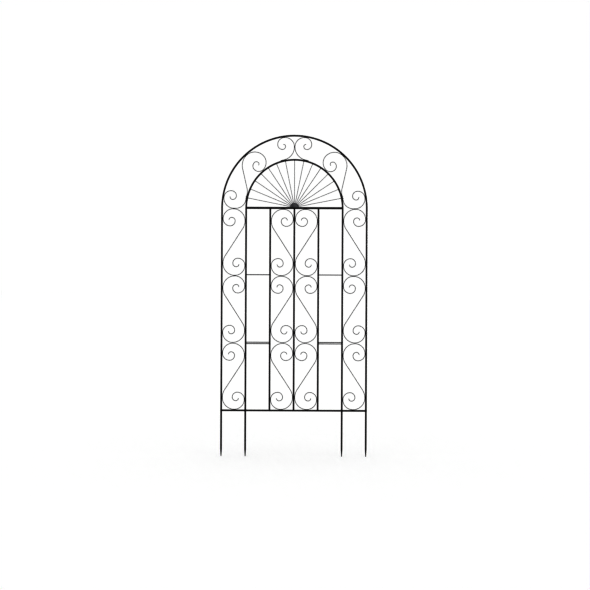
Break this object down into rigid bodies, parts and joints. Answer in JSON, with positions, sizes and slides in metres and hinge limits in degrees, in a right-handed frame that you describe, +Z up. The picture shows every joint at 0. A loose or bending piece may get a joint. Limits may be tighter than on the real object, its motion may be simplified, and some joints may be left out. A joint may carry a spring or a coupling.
{
  "type": "garden trellis",
  "caption": "Flat welded garden trellis with a round arch top, sunburst, wire scrolls and pointed ground legs; the upper panel lifts off the lower one.",
  "frame": {"origin": "middle of the base, between the leg tips, in the mid plane of the trellis", "axes": "+Z up, +X across the trellis to the right as seen from the front, +Y through it to the back"},
  "size_m": [0.911, 0.0126, 2],
  "materials": {
    "tube_paint": "satin black powder coat",
    "wire_paint": "satin black powder coat",
    "hub_paint": "satin black powder coat over weld",
    "pin_steel": "bare drawn steel"
  },
  "bodies": {
    "lower_panel": {"outer_leg_left": "tube_paint", "outer_leg_right": "tube_paint", "inner_leg_left": "tube_paint", "inner_leg_right": "tube_paint", "lower_left_post": "tube_paint", "lower_centre_post": "tube_paint", "lower_right_post": "tube_paint", "bottom_rail_left": "tube_paint", "bottom_rail_middle": "tube_paint", "bottom_rail_right": "tube_paint", "lower_scroll_1": "wire_paint", "lower_scroll_2": "wire_paint", "lower_scroll_3": "wire_paint", "lower_scroll_4": "wire_paint", "joint_rung_lower_left": "wire_paint", "joint_rung_lower_right": "wire_paint", "joint_pins": "pin_steel"},
    "upper_panel": {"outer_hoop": "tube_paint", "inner_hoop": "tube_paint", "crossbar": "tube_paint", "sunburst_hub": "hub_paint", "upper_left_post": "tube_paint", "upper_centre_post": "tube_paint", "upper_right_post": "tube_paint", "ray_01": "wire_paint", "ray_02": "wire_paint", "ray_03": "wire_paint", "ray_04": "wire_paint", "ray_05": "wire_paint", "ray_06": "wire_paint", "ray_07": "wire_paint", "ray_08": "wire_paint", "ray_09": "wire_paint", "ray_10": "wire_paint", "ray_11": "wire_paint", "ray_12": "wire_paint", "ray_13": "wire_paint", "ray_14": "wire_paint", "ray_15": "wire_paint", "upper_scroll_1_1": "wire_paint", "upper_scroll_1_2": "wire_paint", "upper_scroll_2_1": "wire_paint", "upper_scroll_2_2": "wire_paint", "upper_scroll_3_1": "wire_paint", "upper_scroll_3_2": "wire_paint", "upper_scroll_4_1": "wire_paint", "upper_scroll_4_2": "wire_paint", "arch_scroll_left": "wire_paint", "arch_scroll_right": "wire_paint", "apex_scroll_left": "wire_paint", "apex_scroll_right": "wire_paint", "upper_rung_left": "wire_paint", "upper_rung_right": "wire_paint", "joint_rung_upper_left": "wire_paint", "joint_rung_upper_right": "wire_paint"}
  },
  "joints": [
    {"name": "panel_lift", "type": "slide", "parent": "lower_panel", "child": "upper_panel", "axis": [0, 0, 1], "range_m": [0, 0.06]}
  ]
}
